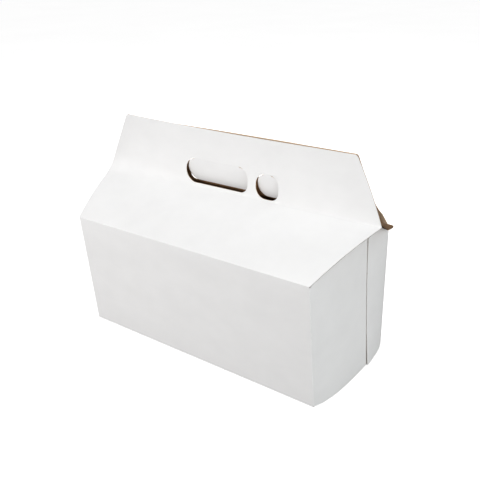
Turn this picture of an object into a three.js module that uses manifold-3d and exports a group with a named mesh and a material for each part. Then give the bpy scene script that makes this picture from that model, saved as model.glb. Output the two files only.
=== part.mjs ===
// Carry-out box of folded paperboard: a tray with overlapped ends, and two roof panels that rise
// into a carrying handle with a hand slot and a round lock. Millimetres, +Z up. The origin is on
// the floor under the middle of the box, +X runs along the eaves, and -Y faces the slotted handle.
import * as THREE from 'three';
import { mergeVertices } from 'three/addons/utils/BufferGeometryUtils.js';
import Module from 'manifold-3d';

const wasm = await Module();
wasm.setup();

// Board, and the small distances that cutting and folding leave
const BOARD = 0.6;
const FOLD = 0.6;
const GAP = 0.35;
const HINGE_SLIT = 0.2;

// Tray, measured on the white outer faces
const EAVE_LENGTH = 241;
const EAVE_DEPTH = 128.3;
const EAVE_HEIGHT = 107.7;
const BASE_LENGTH = 243;
const BASE_DEPTH = 117.1;
const BASE_SHIFT = 4.1;

// End walls: the front wall's flaps lie inside, the rear wall's flaps are glued over them
const END_BULGE = 6.8;
const BULGE_SHAPE = 3;
const BULGE_FADE_HEIGHT = 140;
const BULGE_FADE_POWER = 1.5;
const SEAM_TOP_Y = 22.6;
const SEAM_FOOT_Y = 20.6;
const INNER_FLAP_END_Y = 46;
const GLUE = 0.15;
const OVERLAP_START = 12;
const SEAM_LIFT = 0.6;
const SEAM_LIFT_WIDTH = 16;
const SEAM_GLUED_FROM = 34;
const SEAM_GLUED_TO = 90;
const GLUE_MARGIN = 5;
const FLAP_FLOOR_GAP = 0.3;
const FLAP_ROOF_GAP = 1.5;
const CORNER_RELIEF = 1.2;
const CORNER_RELIEF_RUN = 4;

// Flaps that stand up inside the ends, from the base
const DUST_FLAP_HEIGHT = 42;
const DUST_FLAP_INSET = 1.1;
const DUST_FLAP_LEAN = 0.03;
const DUST_FLAP_TAPER = 0.12;

// Roof and handle
const RIDGE_LENGTH = 284.4;
const RIDGE_HEIGHT = 135.5;
const FRONT_RIDGE_Y = 0.05;
const REAR_RIDGE_Y = 9.95;
const HANDLE_TOP_LENGTH = 236.7;
const HANDLE_TOP_HEIGHT = 186;
const REAR_HANDLE_RISE = 0.6;
const HANDLE_TOP_Y = 3;
const HANDLE_TOP_GAP = 0.5;
const HANDLE_TIP_RADIUS = 1.6;
const REAR_HANDLE_BOW = 1.2;
const SOFT_CREASE = 15;
const SHARP_CREASE = 1;
const FRONT_SOFT_REACH = 202;
const REAR_SOFT_REACH = 82;
const REAR_FOLD_SLIDE = 8.5;
const REAR_EDGE_FULLNESS = 1.7;
const FRONT_CORNER_ROUNDING = 12;
const FRONT_ROOF_BOW = 2.2;
const FRONT_HANDLE_EDGE_BOW = 1.2;
const REAR_HANDLE_EDGE_SHAPE = 0.88;

// Hand slot and round lock, cut in the front handle and still hinged along their tops
const SLOT_LENGTH = 66.8;
const SLOT_HEIGHT = 22;
const SLOT_X = -12.7;
const SLOT_RISE = 2.7;
const SLOT_RADIUS = 10.9;
const SLOT_CORNER_RADIUS = 7.5;
const LOCK_WIDTH = 22.4;
const LOCK_HEIGHT = 21.2;
const LOCK_X = 40.1;
const LOCK_RISE = 1.4;
const LOCK_RADIUS = 9.6;
const FLAP_PUSHED_IN = THREE.MathUtils.degToRad(16);

// Plain apertures of the rear handle, which the two flaps pass through
const REAR_HOLE_MARGIN = 2.4;
const REAR_HOLE_RISE = 2.4;
const REAR_HOLE_TOP = 27.6;
const REAR_HOLE_RADIUS = 6;

const { lerp, clamp, smoothstep } = THREE.MathUtils;
const vector = (x, y, z) => new THREE.Vector3(x, y, z);
const spread = (from, to, steps) => Array.from({ length: steps + 1 }, (_, i) => lerp(from, to, i / steps));

// A closed sheet of board on a grid of outer-face points, with columns crossed into rows pointing
// outwards. keep(row, column) leaves cells out, and lean(row, column) slants a cut edge's kraft side.
function boardSheet(grid, keep = () => true, lean = () => vector(0, 0, 0)) {
  const rows = grid.length;
  const columns = grid[0].length;
  const has = (r, c) => r >= 0 && c >= 0 && r < rows - 1 && c < columns - 1 && keep(r, c);
  const cellNormal = (r, c) => {
    const across = grid[r + 1][c + 1].clone().sub(grid[r][c]);
    const back = grid[r + 1][c].clone().sub(grid[r][c + 1]);
    return across.cross(back).normalize();
  };
  const points = [];
  const outer = new Map();
  const key = (r, c) => r * columns + c;
  for (let r = 0; r < rows; r++) {
    for (let c = 0; c < columns; c++) {
      const around = [[r - 1, c - 1], [r - 1, c], [r, c - 1], [r, c]].filter(([i, j]) => has(i, j));
      if (around.length === 0) continue;
      const normals = around.map(([i, j]) => cellNormal(i, j));
      const normal = normals.reduce((sum, n) => sum.add(n), vector(0, 0, 0)).normalize();
      const facing = normals.reduce((sum, n) => sum + n.dot(normal), 0) / normals.length;
      outer.set(key(r, c), points.length);
      points.push(grid[r][c]);
      points.push(grid[r][c].clone().addScaledVector(normal, -BOARD / facing).add(lean(r, c)));
    }
  }
  const triangles = [];
  const quad = (a, b, c, d) => triangles.push(a, b, c, a, c, d);
  for (let r = 0; r < rows - 1; r++) {
    for (let c = 0; c < columns - 1; c++) {
      if (!has(r, c)) continue;
      const corner = [key(r, c), key(r, c + 1), key(r + 1, c + 1), key(r + 1, c)].map(k => outer.get(k));
      const [a, b, d, e] = corner;
      quad(a, b, d, e);
      quad(e + 1, d + 1, b + 1, a + 1);
      const beside = [has(r - 1, c), has(r, c + 1), has(r + 1, c), has(r, c - 1)];
      beside.forEach((covered, side) => {
        const from = corner[side];
        const to = corner[(side + 1) % 4];
        if (!covered) quad(to, from, from + 1, to + 1);
      });
    }
  }
  const geometry = new THREE.BufferGeometry().setFromPoints(points);
  geometry.setIndex(triangles);
  return geometry;
}

function toSolid(geometry) {
  const bare = geometry.clone();
  bare.deleteAttribute('normal');
  bare.deleteAttribute('uv');
  const merged = mergeVertices(bare, 1e-4);
  const triVerts = Uint32Array.from(merged.index.array);
  return new wasm.Manifold(new wasm.Mesh({
    numProp: 3, vertProperties: merged.attributes.position.array, triVerts,
  }));
}

function toGeometry(solid) {
  const mesh = solid.getMesh();
  const geometry = new THREE.BufferGeometry();
  geometry.setAttribute('position', new THREE.BufferAttribute(mesh.vertProperties, 3));
  geometry.setIndex(new THREE.BufferAttribute(mesh.triVerts, 1));
  return geometry;
}

// Walls: where the outer faces stand at a height above the floor
const climb = z => Math.min(z, EAVE_HEIGHT) / EAVE_HEIGHT;
const wallY = {
  front: z => lerp(BASE_SHIFT - BASE_DEPTH / 2, -EAVE_DEPTH / 2, climb(z)),
  rear: z => lerp(BASE_SHIFT + BASE_DEPTH / 2, EAVE_DEPTH / 2, climb(z)),
};
const halfLength = z => lerp(BASE_LENGTH, EAVE_LENGTH, climb(z)) / 2;

// One half of the roof and handle, seen from the end: eave, ridge fold and top edge
function lidProfile(side, ridgeY, topOffset, softReach, foldSlide) {
  const eave = vector(0, side * EAVE_DEPTH / 2, EAVE_HEIGHT);
  const ridge = vector(0, ridgeY, RIDGE_HEIGHT);
  const top = vector(0, HANDLE_TOP_Y + topOffset, HANDLE_TOP_HEIGHT + (side === 1 ? REAR_HANDLE_RISE : 0));
  const foot = vector(0, side === 1 ? wallY.rear(0) : wallY.front(0), 0);
  const roof = ridge.clone().sub(eave);
  const handle = top.clone().sub(ridge);
  const wallDown = foot.clone().sub(eave).normalize();
  const profile = {
    side, eave, ridge, top, wallDown, softReach, foldSlide,
    roofLength: roof.length(),
    boardLength: roof.length() + handle.length(),
    roofDirection: roof.clone().normalize(),
    handleDirection: handle.clone().normalize(),
  };
  profile.mitre = BOARD / Math.tan(wallDown.angleTo(profile.roofDirection) / 2);
  return profile;
}
const TOP_OFFSET = HANDLE_TOP_GAP / 2 + BOARD;
const frontLid = lidProfile(-1, FRONT_RIDGE_Y, -TOP_OFFSET, FRONT_SOFT_REACH, 0);
const rearLid = lidProfile(1, REAR_RIDGE_Y, TOP_OFFSET, REAR_SOFT_REACH, REAR_FOLD_SLIDE);

function roofHeight(y) {
  const rise = RIDGE_HEIGHT - EAVE_HEIGHT;
  const front = (y - frontLid.eave.y) / (frontLid.ridge.y - frontLid.eave.y);
  const rear = (y - rearLid.eave.y) / (rearLid.ridge.y - rearLid.eave.y);
  return EAVE_HEIGHT + rise * Math.min(front, rear, 1);
}

// End walls: a flap bows out towards the floor, where nothing holds it
function endSurface(end, y, z, layer) {
  const across = (y - wallY.front(z)) / (wallY.rear(z) - wallY.front(z));
  const bow = 1 - Math.abs(2 * clamp(across, 0, 1) - 1) ** BULGE_SHAPE;
  const fade = (1 - z / BULGE_FADE_HEIGHT) ** BULGE_FADE_POWER;
  return vector(end * (halfLength(z) + END_BULGE * bow * fade + layer), y, z);
}

const seamY = z => lerp(SEAM_FOOT_Y, SEAM_TOP_Y, climb(z));

// The outer flap's free edge stands off above and below its glued stretch
function outerLayer(y, z) {
  const overlap = smoothstep(wallY.rear(z) - y, 0, OVERLAP_START);
  const free = 1 - smoothstep(y, seamY(z), seamY(z) + SEAM_LIFT_WIDTH);
  const above = smoothstep(z, SEAM_GLUED_TO, roofHeight(SEAM_TOP_Y));
  const below = 1 - smoothstep(z, 0, SEAM_GLUED_FROM);
  return overlap * (BOARD + GLUE) + free * SEAM_LIFT * (above + below);
}

function endFlapPoint(end, wall, reach, rowClimb) {
  const isRear = wall === 'rear';
  const freeY = z => (isRear ? seamY(z) : INNER_FLAP_END_Y);
  const topY = lerp(wallY[wall](EAVE_HEIGHT), freeY(EAVE_HEIGHT), reach);
  const run = Math.abs(topY - wallY[wall](EAVE_HEIGHT));
  const bottom = lerp(CORNER_RELIEF, FLAP_FLOOR_GAP, clamp(run / CORNER_RELIEF_RUN, 0, 1));
  const z = lerp(bottom, roofHeight(topY) - FLAP_ROOF_GAP, rowClimb);
  const y = lerp(wallY[wall](z), freeY(z), reach);
  return endSurface(end, y, z, isRear ? outerLayer(y, z) : 0);
}

// Tray: rear wall, base and front wall in one strip, with the flaps beside each of them
const WALL_TOP = EAVE_HEIGHT - HINGE_SLIT;
const FLAP_STEPS = 10;
const wallHeights = [FOLD, ...spread(CORNER_RELIEF, WALL_TOP, 8)];
const baseEdge = { front: wallY.front(0) + FOLD, rear: wallY.rear(0) - FOLD };
const baseRows = spread(baseEdge.rear - CORNER_RELIEF_RUN, baseEdge.front + CORNER_RELIEF_RUN, 6);
const trayRows = [
  ...wallHeights.toReversed().map(z => ({ wall: 'rear', z })),
  ...[baseEdge.rear, ...baseRows, baseEdge.front].map(y => ({ y })),
  ...wallHeights.map(z => ({ wall: 'front', z })),
];
const reaches = spread(0, 1, FLAP_STEPS);
const trayColumns = [
  ...reaches.toReversed().map(reach => ({ end: -1, reach })),
  ...spread(-1, 1, 8).map(along => ({ along })),
  ...reaches.map(reach => ({ end: 1, reach })),
];

function trayPoint(row, column) {
  const { z = 0, y } = row;
  if (column.along !== undefined) {
    return vector(column.along * (halfLength(z) - FOLD), row.wall ? wallY[row.wall](z) : y, z);
  }
  if (row.wall) {
    const length = Math.abs(wallY[row.wall](0) - (row.wall === 'rear' ? SEAM_FOOT_Y : INNER_FLAP_END_Y));
    const rowClimb = (z - CORNER_RELIEF) / (WALL_TOP - CORNER_RELIEF);
    return endFlapPoint(column.end, row.wall, lerp(FOLD / length, 1, column.reach), rowClimb);
  }
  const height = lerp(FOLD, DUST_FLAP_HEIGHT, column.reach);
  const x = halfLength(0) - DUST_FLAP_INSET - DUST_FLAP_LEAN * height;
  return vector(column.end * x, lerp(y, BASE_SHIFT, DUST_FLAP_TAPER * column.reach), height);
}

// The corners between a wall's flap and the base's flap are cut out, as the die cuts them
function trayCell(r, c) {
  const isMain = trayColumns[c].along !== undefined && trayColumns[c + 1].along !== undefined;
  const [from, to] = [trayRows[r], trayRows[r + 1]];
  if (isMain) return true;
  if (from.wall !== to.wall) return false;
  if (from.wall) return Math.min(from.z, to.z) >= CORNER_RELIEF;
  return Math.abs(from.y - to.y) > CORNER_RELIEF_RUN + 1;
}

function trayLean(r, c) {
  const row = trayRows[r];
  if (row.z !== WALL_TOP || trayColumns[c].along === undefined) return vector(0, 0, 0);
  const lid = row.wall === 'rear' ? rearLid : frontLid;
  return lid.wallDown.clone().multiplyScalar(lid.mitre);
}

const trayGrid = trayRows.map(row => trayColumns.map(column => trayPoint(row, column)));
let tray = toSolid(boardSheet(trayGrid, trayCell, trayLean));

// Glue between the two end flaps, at mid height
for (const end of [-1, 1]) {
  const across = spread(SEAM_TOP_Y + GLUE_MARGIN, INNER_FLAP_END_Y - GLUE_MARGIN, 3);
  const columns = end === 1 ? across : across.toReversed();
  const seamGlue = spread(SEAM_GLUED_FROM + GLUE_MARGIN, SEAM_GLUED_TO - GLUE_MARGIN, 4)
    .map(z => columns.map(y => endSurface(end, y, z, (BOARD + GLUE) / 2)));
  tray = tray.add(toSolid(boardSheet(seamGlue)));
}

// Roof and handle panel of one lid. A station runs from -1 at the eave, through 0 at the ridge
// fold, to 1 at the top edge. The front lid's fold turns softly at its -X end, the rear's at +X.
function lidHalfWidth(lid, station, along, reach) {
  const eaveHalf = EAVE_LENGTH / 2;
  const ridgeHalf = RIDGE_LENGTH / 2;
  const isRear = lid.side === 1;
  const roofShape = isRear ? REAR_EDGE_FULLNESS : 1;
  const handleShape = isRear ? REAR_HANDLE_EDGE_SHAPE : 1;
  const fromRidge = Math.abs(station);
  const half = station < 0
    ? lerp(ridgeHalf, eaveHalf, fromRidge ** roofShape)
    : lerp(ridgeHalf, HANDLE_TOP_LENGTH / 2, fromRidge ** handleShape);
  const intoTip = clamp(1 - (1 - station) * reach.handle / HANDLE_TIP_RADIUS, 0, 1);
  const tip = HANDLE_TIP_RADIUS * (1 - Math.sqrt(1 - intoTip ** 2));
  if (isRear) return half - tip;
  if (along > 0) return half - tip + 4 * FRONT_HANDLE_EDGE_BOW * Math.max(station * (1 - station), 0);
  const away = Math.min(fromRidge * (station < 0 ? reach.roof : reach.handle), FRONT_CORNER_ROUNDING);
  const cornerSlope = (ridgeHalf - eaveHalf) / reach.roof + (ridgeHalf - HANDLE_TOP_LENGTH / 2) / reach.handle;
  return half - tip - cornerSlope * (FRONT_CORNER_ROUNDING - away) ** 2 / (4 * FRONT_CORNER_ROUNDING);
}

function lidPoint(lid, along, station) {
  const softShare = clamp(1 - (RIDGE_LENGTH / 2) * (1 - along * lid.side) / lid.softReach, 0, 1);
  const soft = lerp(SHARP_CREASE, SOFT_CREASE, softShare ** 2);
  const foldAt = lid.roofLength + lid.foldSlide * softShare ** 2;
  const fold = lid.eave.clone().addScaledVector(lid.roofDirection, foldAt);
  const handle = lid.top.clone().sub(fold).normalize();
  const reach = { roof: foldAt, handle: lid.boardLength - foldAt };
  const past = station * (station < 0 ? reach.roof : reach.handle);
  // a soft fold is shorter than a sharp one, so the board beyond it reaches further
  const foldShare = (1 + 2 * Math.cos(lid.roofDirection.angleTo(handle) / 2)) / 3;
  const inFold = clamp((past + soft) / (2 * soft * foldShare), 0, 1);
  const beyond = Math.max(past + soft - 2 * soft * foldShare, 0);
  const up = soft * inFold ** 2 + beyond;
  const over = Math.min(past, -soft) + soft * (2 * inFold - inFold ** 2);
  const point = fold.addScaledVector(lid.roofDirection, over).addScaledVector(handle, up);
  point.x = along * lidHalfWidth(lid, station, along, reach);
  if (lid.side === 1 && station > 0) point.y += REAR_HANDLE_BOW * (1 - along ** 2) * station;
  if (lid.side === -1 && station < 0) {
    const out = vector(1, 0, 0).cross(lid.roofDirection);
    point.addScaledVector(out, -4 * FRONT_ROOF_BOW * along ** 2 * station * (1 + station));
  }
  return point;
}

function lidSheet(lid) {
  const foldSteps = [-0.22, -0.15, -0.1, -0.05, -0.016, 0, 0.022, 0.07, 0.13, 0.2, 0.3];
  const stations = [
    -1 + HINGE_SLIT / lid.roofLength, -0.85, -0.7, -0.54, -0.38, ...foldSteps,
    0.45, 0.6, 0.8, 0.97, 0.99, 1,
  ];
  const columns = spread(lid.side, -lid.side, 20);
  const grid = stations.map(station => columns.map(along => lidPoint(lid, along, station)));
  const mitred = lid.roofDirection.clone().multiplyScalar(lid.mitre);
  return boardSheet(grid, undefined, r => (r === 0 ? mitred : vector(0, 0, 0)));
}

// Outlines on a handle panel: x along the box, y up from the ridge fold
function roundedOutline(width, bottom, top, radius, lastRadius = radius) {
  const half = width / 2;
  const shape = new THREE.Shape();
  shape.absarc(half - radius, top - radius, radius, Math.PI / 2, 0, true);
  shape.absarc(half - lastRadius, bottom + lastRadius, lastRadius, 0, -Math.PI / 2, true);
  shape.absarc(-half + radius, bottom + radius, radius, -Math.PI / 2, -Math.PI, true);
  shape.absarc(-half + radius, top - radius, radius, Math.PI, Math.PI / 2, true);
  shape.closePath();
  return shape;
}

const slotOutline = inset => roundedOutline(
  SLOT_LENGTH - 2 * inset, SLOT_RISE + inset, SLOT_RISE + SLOT_HEIGHT - inset,
  SLOT_RADIUS - inset, SLOT_CORNER_RADIUS - inset,
);
const lockOutline = inset => roundedOutline(
  LOCK_WIDTH - 2 * inset, LOCK_RISE + inset, LOCK_RISE + LOCK_HEIGHT - inset,
  LOCK_RADIUS - inset, SLOT_CORNER_RADIUS - inset,
);
const rearHole = cutWidth => roundedOutline(
  cutWidth + 2 * REAR_HOLE_MARGIN, REAR_HOLE_RISE, REAR_HOLE_TOP, REAR_HOLE_RADIUS,
);

// A frame on the handle's outer face: x along the box, y up the panel, z out of the board
function handleFrame(lid, x, rise, depth) {
  const out = vector(1, 0, 0).cross(lid.handleDirection);
  const frame = new THREE.Matrix4().makeBasis(vector(1, 0, 0), lid.handleDirection, out);
  const place = lid.ridge.clone().addScaledVector(lid.handleDirection, rise).addScaledVector(out, -depth);
  place.x = x;
  return frame.setPosition(place);
}

const CUT_REACH = 6;
function cutOutline(solid, lid, outline, x) {
  const cutter = new THREE.ExtrudeGeometry(outline, {
    depth: 2 * CUT_REACH, bevelEnabled: false, curveSegments: 10,
  });
  cutter.applyMatrix4(handleFrame(lid, x, 0, CUT_REACH));
  return solid.subtract(toSolid(cutter));
}

// A flap that is still joined along its top, turned about the fold on its kraft side
function pushInFlap(name, outline, x, creaseRise, material) {
  const geometry = new THREE.ExtrudeGeometry(outline, {
    depth: BOARD, bevelEnabled: false, curveSegments: 10,
  });
  geometry.translate(0, -creaseRise, 0);
  const flap = new THREE.Mesh(geometry, material);
  flap.name = name;
  flap.applyMatrix4(handleFrame(frontLid, x, creaseRise, BOARD));
  flap.rotateX(FLAP_PUSHED_IN);
  return flap;
}

function panel(name, solid, material) {
  const mesh = new THREE.Mesh(toGeometry(solid), material);
  mesh.name = name;
  return mesh;
}

const board = (color, roughness) => new THREE.MeshStandardMaterial({ color, roughness, metalness: 0 });

let frontPanel = toSolid(lidSheet(frontLid));
frontPanel = cutOutline(frontPanel, frontLid, slotOutline(0), SLOT_X);
frontPanel = cutOutline(frontPanel, frontLid, lockOutline(0), LOCK_X);
let rearPanel = toSolid(lidSheet(rearLid));
rearPanel = cutOutline(rearPanel, rearLid, rearHole(SLOT_LENGTH), SLOT_X);
rearPanel = cutOutline(rearPanel, rearLid, rearHole(LOCK_WIDTH), LOCK_X);

const box = new THREE.Group();
box.add(panel('carton_body', tray, board(0xe9e8e8, 0.55)));
box.add(panel('front_lid_flap', frontPanel, board(0xf5f6f6, 0.55)));
box.add(panel('rear_lid_flap', rearPanel, board(0xeeeeed, 0.55)));
box.add(pushInFlap('hand_slot_flap', slotOutline(GAP), SLOT_X, SLOT_RISE + SLOT_HEIGHT, board(0xe2e5e3, 0.6)));
box.add(pushInFlap('round_lock_flap', lockOutline(GAP), LOCK_X, LOCK_RISE + LOCK_HEIGHT, board(0xe0e2e1, 0.6)));

export default box;
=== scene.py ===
"""Folded paperboard carry-out box with a handle: white clay coat outside, brown kraft inside."""
import math

import bpy
from mathutils import Matrix, Vector


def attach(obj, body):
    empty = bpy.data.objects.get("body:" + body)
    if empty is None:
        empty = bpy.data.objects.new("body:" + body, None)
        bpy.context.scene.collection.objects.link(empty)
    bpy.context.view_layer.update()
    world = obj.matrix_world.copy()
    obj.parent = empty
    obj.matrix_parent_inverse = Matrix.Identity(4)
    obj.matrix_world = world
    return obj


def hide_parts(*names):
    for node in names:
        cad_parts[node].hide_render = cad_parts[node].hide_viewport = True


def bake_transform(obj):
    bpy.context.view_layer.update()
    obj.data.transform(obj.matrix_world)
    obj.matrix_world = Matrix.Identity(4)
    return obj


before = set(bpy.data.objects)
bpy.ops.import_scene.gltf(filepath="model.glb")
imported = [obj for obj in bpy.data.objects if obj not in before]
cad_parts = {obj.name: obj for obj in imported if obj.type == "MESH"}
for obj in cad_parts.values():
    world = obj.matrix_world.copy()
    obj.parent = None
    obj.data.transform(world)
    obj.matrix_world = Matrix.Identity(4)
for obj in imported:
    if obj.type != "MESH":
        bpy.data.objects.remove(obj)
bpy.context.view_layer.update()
bpy.ops.object.select_all(action="DESELECT")


# Camera
# A little above the box, looking down on its front left corner.
# The place, the directions and the focal length are those of the photographed view.
camera_data = bpy.data.cameras.new("camera")
camera_data.sensor_width = 36
camera_data.lens = 48.69
camera_data.clip_start = 0.01
camera = bpy.data.objects.new("camera", camera_data)
bpy.context.scene.collection.objects.link(camera)
looking = Vector((-0.55577186, 0.73262372, -0.39291235))
rightward = Vector((0.80113581, 0.59821893, -0.01776314))
upward = Vector((-0.22203391, 0.32464841, 0.91940435))
camera.matrix_world = Matrix.Translation((0.32468, -0.41197, 0.31544)) @ Matrix(
    (rightward, upward, -looking)
).transposed().to_4x4()
bpy.context.scene.camera = camera


# Tray
# One die-cut blank of 0.6 mm board, creased and folded: base, front and rear wall, and end flaps.
# The rear wall's flaps are glued over the front wall's flaps, and the base's flaps stand inside.
# The coat is white and satin outside, the pulp is bare kraft inside and along every cut edge.
BOARD = 0.0006
EAVE = 0.06415
EAVE_HEIGHT = 0.1077
RIDGE_HEIGHT = 0.1355
KRAFT_DARK = (0.27, 0.145, 0.07)
KRAFT_LIGHT = (0.42, 0.25, 0.135)


def new_finish(name):
    finish = bpy.data.materials.new(name)
    finish.use_nodes = True
    nodes = finish.node_tree.nodes
    shader = nodes["Principled BSDF"]
    place = nodes.new("ShaderNodeTexCoord")
    return finish, nodes, finish.node_tree.links, shader, place


def fibre_noise(nodes, links, place, stretch, scale, detail, roughness=0.6):
    mapping = nodes.new("ShaderNodeMapping")
    mapping.inputs["Scale"].default_value = stretch
    noise = nodes.new("ShaderNodeTexNoise")
    noise.inputs["Scale"].default_value = scale
    noise.inputs["Detail"].default_value = detail
    noise.inputs["Roughness"].default_value = roughness
    links.new(place.outputs["Object"], mapping.inputs["Vector"])
    links.new(mapping.outputs["Vector"], noise.inputs["Vector"])
    return noise


def tinted(nodes, links, noise, low, high, dark, light):
    ramp = nodes.new("ShaderNodeValToRGB")
    ramp.color_ramp.elements[0].position = low
    ramp.color_ramp.elements[1].position = high
    ramp.color_ramp.elements[0].color = (*dark, 1)
    ramp.color_ramp.elements[1].color = (*light, 1)
    links.new(noise.outputs["Fac"], ramp.inputs["Fac"])
    return ramp


def raised(nodes, links, noise, strength, distance, under=None):
    bump = nodes.new("ShaderNodeBump")
    bump.inputs["Strength"].default_value = strength
    bump.inputs["Distance"].default_value = distance
    links.new(noise.outputs["Fac"], bump.inputs["Height"])
    if under is not None:
        links.new(under.outputs["Normal"], bump.inputs["Normal"])
    return bump


def coated_white(name, dark, light):
    finish, nodes, links, shader, place = new_finish(name)
    clouds = fibre_noise(nodes, links, place, (1, 1, 1.4), 38, 3)
    fibres = fibre_noise(nodes, links, place, (1, 2.2, 2.2), 1500, 4, 0.7)
    cockle = fibre_noise(nodes, links, place, (0.6, 1, 1), 26, 1, 0.4)
    colour = tinted(nodes, links, clouds, 0.3, 0.7, dark, light)
    links.new(colour.outputs["Color"], shader.inputs["Base Color"])
    gloss = nodes.new("ShaderNodeMapRange")
    gloss.inputs["To Min"].default_value = 0.46
    gloss.inputs["To Max"].default_value = 0.62
    links.new(fibres.outputs["Fac"], gloss.inputs["Value"])
    links.new(gloss.outputs["Result"], shader.inputs["Roughness"])
    shader.inputs["Specular IOR Level"].default_value = 0.35
    large = raised(nodes, links, cockle, 0.3, 0.0008)
    fine = raised(nodes, links, fibres, 0.12, 0.00006, large)
    links.new(fine.outputs["Normal"], shader.inputs["Normal"])
    return finish


def bare_kraft(name, dark, light, fibre_scale):
    finish, nodes, links, shader, place = new_finish(name)
    fibres = fibre_noise(nodes, links, place, (0.35, 1, 1), fibre_scale, 6, 0.75)
    specks = fibre_noise(nodes, links, place, (1, 1, 1), fibre_scale * 0.6, 2, 0.5)
    colour = tinted(nodes, links, fibres, 0.32, 0.68, dark, light)
    fleck = tinted(nodes, links, specks, 0.66, 0.74, (1, 1, 1), (0.72, 0.66, 0.6))
    # a colour mix has its two colours on inputs 6 and 7, and the mixed one on output 2
    mix = nodes.new("ShaderNodeMix")
    mix.data_type = "RGBA"
    mix.blend_type = "MULTIPLY"
    mix.inputs["Factor"].default_value = 0.7
    links.new(colour.outputs["Color"], mix.inputs[6])
    links.new(fleck.outputs["Color"], mix.inputs[7])
    links.new(mix.outputs[2], shader.inputs["Base Color"])
    shader.inputs["Roughness"].default_value = 0.86
    shader.inputs["Specular IOR Level"].default_value = 0.25
    pulp = raised(nodes, links, fibres, 0.35, 0.00012)
    links.new(pulp.outputs["Normal"], shader.inputs["Normal"])
    return finish


FIBRE_SCALE = 420
CUT_FIBRE_SCALE = 900
coat_white = coated_white("white_clay_coat", (0.845, 0.845, 0.845), (0.875, 0.875, 0.875))
kraft_side = bare_kraft("kraft_inside", KRAFT_DARK, KRAFT_LIGHT, FIBRE_SCALE)
cut_edge = bare_kraft("kraft_cut_edge", (0.56, 0.38, 0.23), (0.76, 0.58, 0.4), CUT_FIBRE_SCALE)
# a pale finish for cut edges, as painted light lifting the shade on them
painted_light_edge_finish = bare_kraft("cut_edge_painted_light", (0.76, 0.73, 0.69), (0.85, 0.84, 0.82), CUT_FIBRE_SCALE)


# a finished board has the slots cut edge, white coat, kraft, and a cut edge painted pale as painted
# light, in that order
CUT, COAT, KRAFT, PAINTED_LIGHT_EDGE = range(4)


def board_from(node, name, white):
    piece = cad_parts[node].copy()
    piece.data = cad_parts[node].data.copy()
    piece.name = name
    piece.parent = None
    bpy.context.scene.collection.objects.link(piece)
    bpy.ops.object.select_all(action="DESELECT")
    piece.select_set(True)
    bpy.context.view_layer.objects.active = piece
    bpy.ops.object.mode_set(mode="EDIT")
    bpy.ops.mesh.select_all(action="SELECT")
    bpy.ops.mesh.remove_doubles(threshold=0.00001)
    bpy.ops.mesh.select_all(action="DESELECT")
    bpy.ops.object.mode_set(mode="OBJECT")
    piece.data.materials.clear()
    for finish in (cut_edge, white, kraft_side, painted_light_edge_finish):
        piece.data.materials.append(finish)
    for face in piece.data.polygons:
        face.material_index = CUT
    return piece


def paint_side(piece, seed, facing, slot):
    faces = piece.data.polygons
    turned = [f for f in faces if f.normal.dot(Vector(facing)) > 0.5]
    nearest = min(turned, key=lambda f: (f.center - Vector(seed)).length)
    for face in faces:
        face.select = False
    nearest.select = True
    bpy.ops.object.mode_set(mode="EDIT")
    bpy.context.tool_settings.mesh_select_mode = (False, False, True)
    bpy.ops.mesh.faces_select_linked_flat(sharpness=math.radians(46))
    piece.active_material_index = slot
    bpy.ops.object.material_slot_assign()
    bpy.ops.mesh.select_all(action="DESELECT")
    bpy.ops.object.mode_set(mode="OBJECT")


# some cut edges are painted pale: painted light that lifts the shade on them
def paint_light_on_edges(piece, low, high):
    for face in piece.data.polygons:
        place = (abs(face.center.x), face.center.y, face.center.z)
        inside = all(a <= b <= c for a, b, c in zip(low, place, high))
        if face.material_index == CUT and inside:
            face.material_index = PAINTED_LIGHT_EDGE


def finish_board(piece):
    bpy.ops.object.shade_smooth_by_angle(angle=math.radians(47))
    weighted = piece.modifiers.new("even_faces", "WEIGHTED_NORMAL")
    weighted.keep_sharp = True
    bpy.ops.object.modifier_apply(modifier=weighted.name)


tray = board_from("carton_body", "folded_tray", coat_white)
paint_side(tray, (0, -0.06, 0.05), (0, -1, 0), COAT)
paint_side(tray, (0, 0, 0.0006), (0, 0, 1), KRAFT)
for end in (-1, 1):
    paint_side(tray, (end * 0.12, 0.004, 0.02), (end, 0, 0), COAT)
    paint_side(tray, (end * 0.118, 0.004, 0.02), (-end, 0, 0), KRAFT)
# painted light: the seam's edge and the front flap's top corner near the eave are painted pale
paint_light_on_edges(tray, (0.118, 0.015, 0.001), (0.135, 0.03, 0.14))
paint_light_on_edges(tray, (0.118, -0.066, 0.1), (0.135, -0.054, 0.115))
# the front wall's end flaps are cut lower near the eave, and leave a gap under the roof
ROOF_RISE = RIDGE_HEIGHT - EAVE_HEIGHT
for corner in tray.data.vertices:
    x, y, z = corner.co
    top = EAVE_HEIGHT + ROOF_RISE * min((y + EAVE) / 0.0642, 1) - 0.0015
    if abs(x) > 0.119 and -0.0575 < y < -0.02 and z > top - 0.0012:
        corner.co.z -= min(0.12 * (y + 0.0575), 0.14 * (-0.02 - y))
finish_board(tray)
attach(tray, "carton")
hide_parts("carton_body")


# Front roof and slotted handle
# One panel of the same blank, creased where the roof turns up into the handle.
# The crease is pressed crisp on the right, and the board rolls softly through it on the left.
front_lid = board_from("front_lid_flap", "front_roof_and_handle", coat_white)
paint_side(front_lid, (0.06, -0.035, 0.121), (0, -0.4, 0.9), COAT)
paint_side(front_lid, (0.06, -0.035, 0.12), (0, 0.4, -0.9), KRAFT)
# painted light: the roof's side edges are painted pale
paint_light_on_edges(front_lid, (0.118, -0.07, 0.1), (0.15, 0.01, 0.1365))
finish_board(front_lid)
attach(front_lid, "front_lid")
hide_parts("front_lid_flap")


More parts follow.
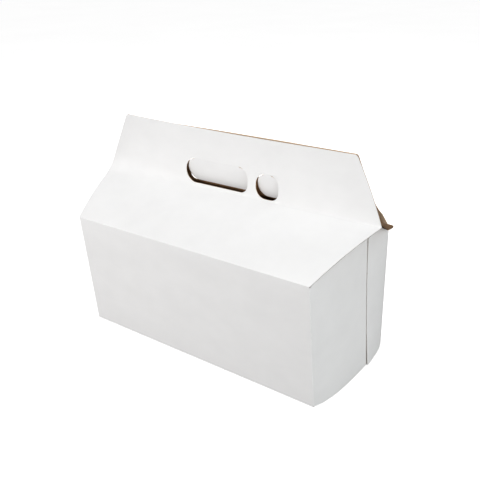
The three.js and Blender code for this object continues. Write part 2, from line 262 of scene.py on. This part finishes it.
# Rear roof and plain handle
# The matching panel from the rear wall, folded up close behind the slotted one.
# Its apertures are plain, so that the push-in flaps and the fingers pass through.
# At its right end the board turns at a crisp crease, and the handle leans a little forward over it.
rear_lid = board_from("rear_lid_flap", "rear_roof_and_handle", coat_white)
RIGHT_PART = 0.055
WIDEST = 0.1422
EAVE_TAPER = 0.0217
ROOF_CURVE = 1.7
TOP_CURVE = 0.88
ROLL_LENGTH = 0.082
CRISP_RADIUS = 0.001
ROLL_GROWTH = 0.014
FOLD_SLIDE = 0.0085
HANDLE_RISE = 0.0515
LEAN = 0.0045
LEAN_FULL_AT = 0.02
BOW = 0.0012
rear_eave = Vector((0, EAVE, EAVE_HEIGHT))
rear_ridge = Vector((0, 0.00995, RIDGE_HEIGHT))
rear_top = Vector((0, 0.00385, 0.1866))
rear_roof = rear_ridge - rear_eave
rear_handle = rear_top - rear_ridge
board_length = rear_roof.length + rear_handle.length
crease_at = rear_roof.length
rear_roof.normalize()
rear_handle.normalize()
for face in rear_lid.data.polygons:
    middle = face.center
    face.select = middle.x > RIGHT_PART and middle.z > 0.12
bpy.ops.object.mode_set(mode="EDIT")
bpy.context.tool_settings.mesh_select_mode = (False, False, True)
bpy.ops.mesh.subdivide(number_cuts=2)
bpy.ops.mesh.select_all(action="DESELECT")
bpy.ops.object.mode_set(mode="OBJECT")
for corner in rear_lid.data.vertices:
    x, y, z = corner.co
    if x < RIGHT_PART or z < 0.115:
        continue
    over_ridge = (z - RIDGE_HEIGHT) / 0.05
    if over_ridge > 0:
        half = WIDEST - 0.0238 * over_ridge ** TOP_CURVE
    else:
        half = WIDEST - EAVE_TAPER * (-over_ridge / 0.556) ** ROOF_CURVE
    # how much of the roll this corner has, from none far inside to all at the right end
    share = max(0, 1 - WIDEST * (1 - min(x / half, 1)) / ROLL_LENGTH) ** 2
    soft = CRISP_RADIUS + ROLL_GROWTH * share
    fold_at = crease_at + FOLD_SLIDE * share
    fold = rear_eave + rear_roof * fold_at
    handle = (rear_top - fold).normalized()
    turn = (1 + 2 * math.cos(rear_roof.angle(handle) / 2)) / 3
    # where the corner sits on the rolled board, measured along it from the eave
    apart = Vector((0, y, z)) - fold
    width = rear_roof.y * handle.z - rear_roof.z * handle.y
    over = (apart.y * handle.z - apart.z * handle.y) / width
    up = (rear_roof.y * apart.z - rear_roof.z * apart.y) / width
    if over < -soft:
        along = fold_at + over
        rolled = fold + rear_roof * over
    elif up > soft:
        along = fold_at + up - 2 * soft + 2 * soft * turn
        rolled = fold + handle * up
    else:
        bend = min(max((up / soft) ** 0.5 if up > 0 else 0, 0), 1)
        bend = max(bend, 1 - (max(-over, 0) / soft) ** 0.5)
        along = fold_at - soft + 2 * soft * turn * bend
        rolled = fold + rear_roof * (-soft + soft * (2 * bend - bend ** 2)) + handle * (soft * bend ** 2)
    # the board is widest at its crease, which lies lower than the middle of the roll
    widths = []
    for widest in (fold_at, crease_at):
        if along < widest:
            widths.append(WIDEST - EAVE_TAPER * (1 - along / widest) ** ROOF_CURVE)
        else:
            rise = min((along - widest) / (board_length - widest), 1)
            widths.append(WIDEST - 0.02385 * rise ** (TOP_CURVE + 0.35 * (1 - rise) ** 2))
    corner.co.x *= 1 + (widths[1] / widths[0] - 1) * min(share * 2, 1)
    beyond = along - crease_at
    if beyond < 0:
        bow = BOW * share * math.sin(math.pi * along / crease_at)
        creased = rear_eave + rear_roof * along + Vector((0, rear_roof.z, -rear_roof.y)) * bow
    else:
        lean = LEAN * (1 - beyond / HANDLE_RISE) * (1 - (1 - min(beyond / LEAN_FULL_AT, 1)) ** 2)
        creased = rear_ridge + rear_handle * beyond + Vector((0, -lean * share, 0))
    corner.co += (creased - rolled) * min(share * 4, 1)

# the kraft is painted paler along the handle's top rim and at its right rim over the crease: a painted
# highlight where light catches these rims
kraft_painted_highlight = bare_kraft("kraft_with_painted_highlight", KRAFT_DARK, KRAFT_LIGHT, FIBRE_SCALE)
nodes = kraft_painted_highlight.node_tree.nodes
links = kraft_painted_highlight.node_tree.links
pulp_colour = nodes["Principled BSDF"].inputs["Base Color"]
height = nodes.new("ShaderNodeSeparateXYZ")
links.new(nodes["Texture Coordinate"].outputs["Object"], height.inputs["Vector"])
sideways = nodes.new("ShaderNodeMath")
sideways.operation = "MULTIPLY_ADD"
sideways.inputs[1].default_value = 0.47
links.new(height.outputs["Z"], sideways.inputs[0])
links.new(height.outputs["X"], sideways.inputs[2])
rims = []
for measure, clear, lit_from, most in (
    (height.outputs["Z"], 0.1835, 0.1848, 1),
    (sideways.outputs["Value"], 0.2012, 0.2042, 0.6),
    (height.outputs["Z"], 0.1348, 0.1362, 1),
):
    rim = nodes.new("ShaderNodeMapRange")
    rim.inputs["From Min"].default_value = clear
    rim.inputs["From Max"].default_value = lit_from
    rim.inputs["To Max"].default_value = most
    links.new(measure, rim.inputs["Value"])
    rims.append(rim.outputs["Result"])
over_crease = nodes.new("ShaderNodeMath")
over_crease.operation = "MULTIPLY"
links.new(rims[1], over_crease.inputs[0])
links.new(rims[2], over_crease.inputs[1])
highlight_mask = nodes.new("ShaderNodeMath")
highlight_mask.operation = "MAXIMUM"
links.new(rims[0], highlight_mask.inputs[0])
links.new(over_crease.outputs["Value"], highlight_mask.inputs[1])
painted_highlight = nodes.new("ShaderNodeMix")
painted_highlight.data_type = "RGBA"
links.new(highlight_mask.outputs["Value"], painted_highlight.inputs["Factor"])
links.new(pulp_colour.links[0].from_socket, painted_highlight.inputs[6])
painted_highlight.inputs[7].default_value = (0.82, 0.64, 0.46, 1)
links.new(painted_highlight.outputs[2], pulp_colour)
rear_lid.data.materials[KRAFT] = kraft_painted_highlight

paint_side(rear_lid, (0, 0.04, 0.121), (0, 0.4, 0.9), COAT)
paint_side(rear_lid, (0, 0.04, 0.12), (0, -0.4, -0.9), KRAFT)
finish_board(rear_lid)
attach(rear_lid, "rear_lid")
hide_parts("rear_lid_flap")


# Push-in flaps of the hand slot and the round lock
# Each is cut on three sides in the slotted handle, and bends in about its top.
# They stand a little way in, as they do once the handle has been gripped.
hand_flap = board_from("hand_slot_flap", "hand_slot_push_flap", coat_white)
paint_side(hand_flap, (-0.0127, 0, 0.15), (0, -1, 0), COAT)
paint_side(hand_flap, (-0.0127, 0.01, 0.15), (0, 1, 0), KRAFT)
finish_board(hand_flap)
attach(hand_flap, "hand_flap")
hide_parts("hand_slot_flap")

lock_flap = board_from("round_lock_flap", "round_lock_push_flap", coat_white)
paint_side(lock_flap, (0.0401, 0, 0.15), (0, -1, 0), COAT)
paint_side(lock_flap, (0.0401, 0.01, 0.15), (0, 1, 0), KRAFT)
finish_board(lock_flap)
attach(lock_flap, "lock_flap")
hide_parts("round_lock_flap")


# Creases
# Lids and push-in flaps aren't separate boards: the white coat runs on over each crease.
# A narrow strip of coat, shaped to the crease's bent section, closes the slit that lets each crease
# turn.
def crease_skin(name, left, right, section, finish):
    bpy.ops.object.select_all(action="DESELECT")
    bpy.ops.mesh.primitive_grid_add(x_subdivisions=24, y_subdivisions=len(section) - 1, size=2)
    skin = bpy.context.active_object
    skin.name = name
    for corner in skin.data.vertices:
        along = (corner.co.x + 1) / 2
        step = round((corner.co.y + 1) / 2 * (len(section) - 1))
        corner.co = section[step] + Vector((left + (right - left) * along, 0, 0))
    coat = skin.modifiers.new("coat", "SOLIDIFY")
    coat.thickness = 0.00012
    coat.offset = -1
    bpy.ops.object.modifier_apply(modifier=coat.name)
    skin.data.materials.append(finish)
    bpy.ops.object.shade_smooth_by_angle(angle=math.radians(75))
    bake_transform(skin)
    return skin


for side, name, lid_body, ridge in (
    (-1, "front_eave_crease", "front_lid", 0.00005),
    (1, "rear_eave_crease", "rear_lid", 0.00995),
):
    eave = Vector((0, side * EAVE, EAVE_HEIGHT))
    foot = Vector((0, side * 0.05855 + 0.0041, 0))
    down = (foot - eave).normalized()
    up = (Vector((0, ridge, RIDGE_HEIGHT)) - eave).normalized()
    wall_out = Vector((0, side * -down.z, side * down.y))
    roof_out = Vector((0, side * up.z, -side * up.y))
    section = [
        eave + down * 0.0011 - wall_out * 0.00003,
        eave + down * 0.0006 + wall_out * 0.00002,
        eave + down * 0.00015 + wall_out * 0.00003,
        eave + up * 0.00015 + roof_out * 0.00003,
        eave + up * 0.0006 + roof_out * 0.00002,
        eave + up * 0.0011 - roof_out * 0.00003,
    ]
    if side == 1:
        section = section[::-1]
    skin = crease_skin(name, -0.1203, 0.1203, section, coat_white)

for name, flap_body, middle, half, crease in (
    ("hand_flap_crease", "hand_flap", -0.0127, 0.024, Vector((0, 0.001076, 0.160179))),
    ("lock_flap_crease", "lock_flap", 0.0401, 0.0034, Vector((0, 0.000988, 0.158081))),
):
    up = Vector((0, 0.0021, 0.0505)).normalized()
    out = Vector((0, -up.z, up.y))
    turn = Matrix.Rotation(math.radians(16), 3, "X")
    axis = crease - out * BOARD
    flap_down = turn @ -up
    flap_out = turn @ out
    section = [
        crease + up * 0.0009 - out * 0.00003,
        crease + up * 0.0004 + out * 0.00002,
        crease + out * 0.00003,
        axis + flap_down * 0.0003 + flap_out * (BOARD + 0.00003),
        axis + flap_down * 0.0008 + flap_out * (BOARD + 0.00002),
        axis + flap_down * 0.0013 + flap_out * (BOARD - 0.00003),
    ]
    skin = crease_skin(
        name, middle - half, middle + half, section[::-1], coat_white
    )


# Floor and studio light
# A plain pale floor in a white room, with soft lights above, low in front, at the right and behind.
# The floor and the room show bright, and throw only a little of their light on the box.
bpy.ops.object.select_all(action="DESELECT")
bpy.ops.mesh.primitive_plane_add(size=14, location=(0, 0, -0.0002))
floor = bpy.context.active_object
floor.name = "floor"
paper, nodes, links, shader, place = new_finish("pale_floor")
grain = fibre_noise(nodes, links, place, (1, 1, 1), 3, 2)
tone = tinted(nodes, links, grain, 0.3, 0.7, (0.93, 0.93, 0.93), (0.95, 0.95, 0.95))
links.new(tone.outputs["Color"], shader.inputs["Base Color"])
links.new(tone.outputs["Color"], shader.inputs["Emission Color"])
shader.inputs["Emission Strength"].default_value = 0.64
shader.inputs["Roughness"].default_value = 0.9
dull = nodes.new("ShaderNodeBsdfDiffuse")
dull.inputs["Color"].default_value = (0.3, 0.3, 0.3, 1)
path = nodes.new("ShaderNodeLightPath")
seen = nodes.new("ShaderNodeMixShader")
links.new(path.outputs["Is Camera Ray"], seen.inputs["Fac"])
links.new(dull.outputs["BSDF"], seen.inputs[1])
links.new(shader.outputs["BSDF"], seen.inputs[2])
links.new(seen.outputs["Shader"], nodes["Material Output"].inputs["Surface"])
floor.data.materials.append(paper)

world = bpy.data.worlds.new("white_room")
world.use_nodes = True
nodes = world.node_tree.nodes
links = world.node_tree.links
nodes["Background"].inputs["Color"].default_value = (1, 1, 1, 1)
nodes["Background"].inputs["Strength"].default_value = 0.4
bright = nodes.new("ShaderNodeBackground")
bright.inputs["Color"].default_value = (1, 1, 1, 1)
path = nodes.new("ShaderNodeLightPath")
seen = nodes.new("ShaderNodeMixShader")
links.new(path.outputs["Is Camera Ray"], seen.inputs["Fac"])
links.new(nodes["Background"].outputs["Background"], seen.inputs[1])
links.new(bright.outputs["Background"], seen.inputs[2])
links.new(seen.outputs["Shader"], nodes["World Output"].inputs["Surface"])
bpy.context.scene.world = world


def soft_light(name, place, target, size, power, colour):
    data = bpy.data.lights.new(name, "AREA")
    data.shape = "SQUARE"
    data.size = size
    data.energy = power
    data.color = colour
    lamp = bpy.data.objects.new(name, data)
    lamp.location = place
    lamp.rotation_euler = (Vector(target) - Vector(place)).to_track_quat("-Z", "Y").to_euler()
    lamp.visible_camera = False
    bpy.context.scene.collection.objects.link(lamp)


soft_light("overhead", (-0.1, -0.1, 1.4), (0, 0, 0.1), 0.9, 5.1, (1, 1, 1))
soft_light("front_low", (-0.25, -0.8, 0.18), (0, 0, 0.06), 0.3, 3.3, (1, 0.98, 0.97))
soft_light("right_near", (0.5, -0.12, 0.42), (0.12, 0, 0.07), 0.28, 0.34, (0.98, 1, 0.99))
soft_light("right_far", (1.3, -0.25, 0.5), (0.12, 0, 0.07), 0.8, 7.1, (0.98, 1, 0.995))
soft_light("back_left", (-1.1, 1.1, 0.6), (0, 0, 0.07), 0.8, 9, (1, 1, 1))
bpy.context.scene.view_settings.view_transform = "Standard"
